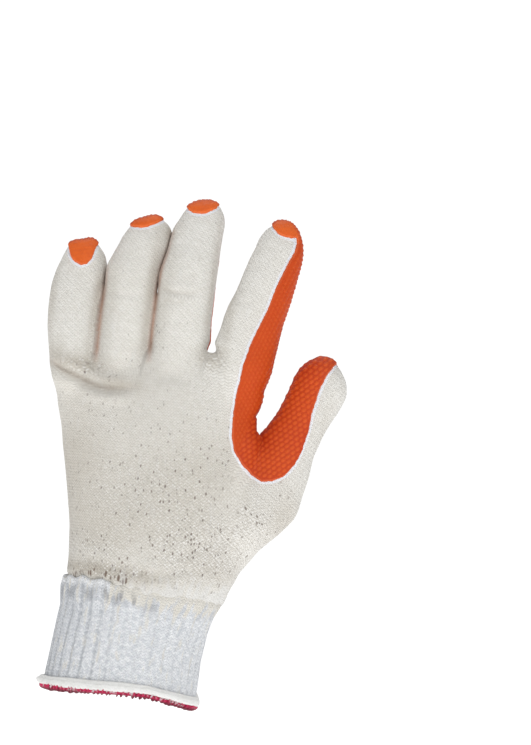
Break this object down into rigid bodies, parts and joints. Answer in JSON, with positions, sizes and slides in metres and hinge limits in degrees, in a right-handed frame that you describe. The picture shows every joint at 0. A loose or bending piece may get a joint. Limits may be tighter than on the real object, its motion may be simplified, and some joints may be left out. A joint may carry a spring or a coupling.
{
  "type": "latex coated grip glove",
  "caption": "Seamless knitted work glove for the left hand with a latex coated grip palm, coated fingertips and a rib-knit cuff.",
  "frame": {"origin": "middle of the cuff's open mouth, in the plane of the overlock edge, where the wrist goes in", "axes": "+Z along the hand from the mouth to the fingertips, +X towards the thumb, +Y towards the palm; the back of the hand faces -Y"},
  "size_m": [0.1515, 0.0568, 0.2501],
  "materials": {
    "cream_knit": "natural cotton and polyester knit, matt",
    "white_rib": "bluish white elastic rib knit, matt",
    "cream_hem": "close cream overlock yarn",
    "crimson_thread": "crimson overlock thread",
    "orange_latex": "embossed natural latex, soft satin"
  },
  "bodies": {
    "root": {"knit_liner": "cream_knit", "rib_cuff": "white_rib", "hem_band": "cream_hem", "overlock_edge": "crimson_thread", "latex_coating": "orange_latex"}
  },
  "joints": []
}
